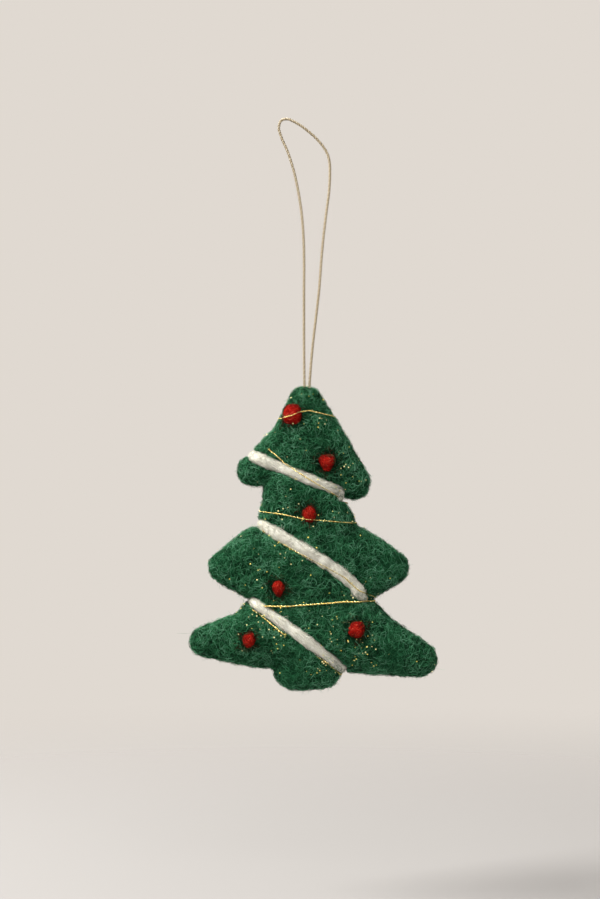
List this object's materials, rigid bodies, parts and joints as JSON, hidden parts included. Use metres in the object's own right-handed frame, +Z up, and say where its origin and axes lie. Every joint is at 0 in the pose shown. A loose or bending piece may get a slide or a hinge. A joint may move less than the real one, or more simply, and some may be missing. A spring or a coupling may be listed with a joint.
{
  "type": "felt christmas ornament",
  "caption": "Needle-felted wool christmas tree with a wound yarn garland, gold thread and felted balls, hanging from a looped cord knotted inside its tip.",
  "frame": {"origin": "where the crown of the hanging loop rests on what holds it", "axes": "+Z up along the height of the tree, +X to the right seen from the decorated front, +Y through the thickness towards the back"},
  "size_m": [0.0817, 0.0211, 0.189],
  "materials": {
    "green_wool": "needle-felted wool, matt and fuzzy",
    "plain_wool": "undyed wool batting",
    "white_yarn": "unspun wool yarn, matt and fuzzy",
    "red_wool": "needle-felted wool, matt and fuzzy",
    "gold_thread": "metallised thread, bright",
    "gold_cord": "twisted cord with a soft metallic sheen"
  },
  "bodies": {
    "loop_top": {"loop_crown": "gold_cord"},
    "loop_legs": {"loop_leg_left": "gold_cord", "loop_leg_right": "gold_cord"},
    "tree": {"felt_skin": "green_wool", "wool_core": "plain_wool", "yarn_garland": "white_yarn", "gold_thread": "gold_thread", "anchor_knot": "gold_cord", "tip_ball": "red_wool", "top_ball": "red_wool", "neck_ball": "red_wool", "middle_ball": "red_wool", "left_bough_ball": "red_wool", "right_bough_ball": "red_wool"}
  },
  "joints": [
    {"name": "cord_twist", "type": "hinge", "parent": "loop_top", "child": "loop_legs", "pos_m": [0.0066, 0, -0.013], "axis": [0, 0, 1], "range_deg": [-180, 180], "stiffness_Nm_per_rad": 0.000012},
    {"name": "tree_tilt", "type": "hinge", "parent": "loop_legs", "child": "tree", "pos_m": [0.0066, 0, -0.0862], "axis": [1, 0, 0], "range_deg": [-90, 90]}
  ]
}
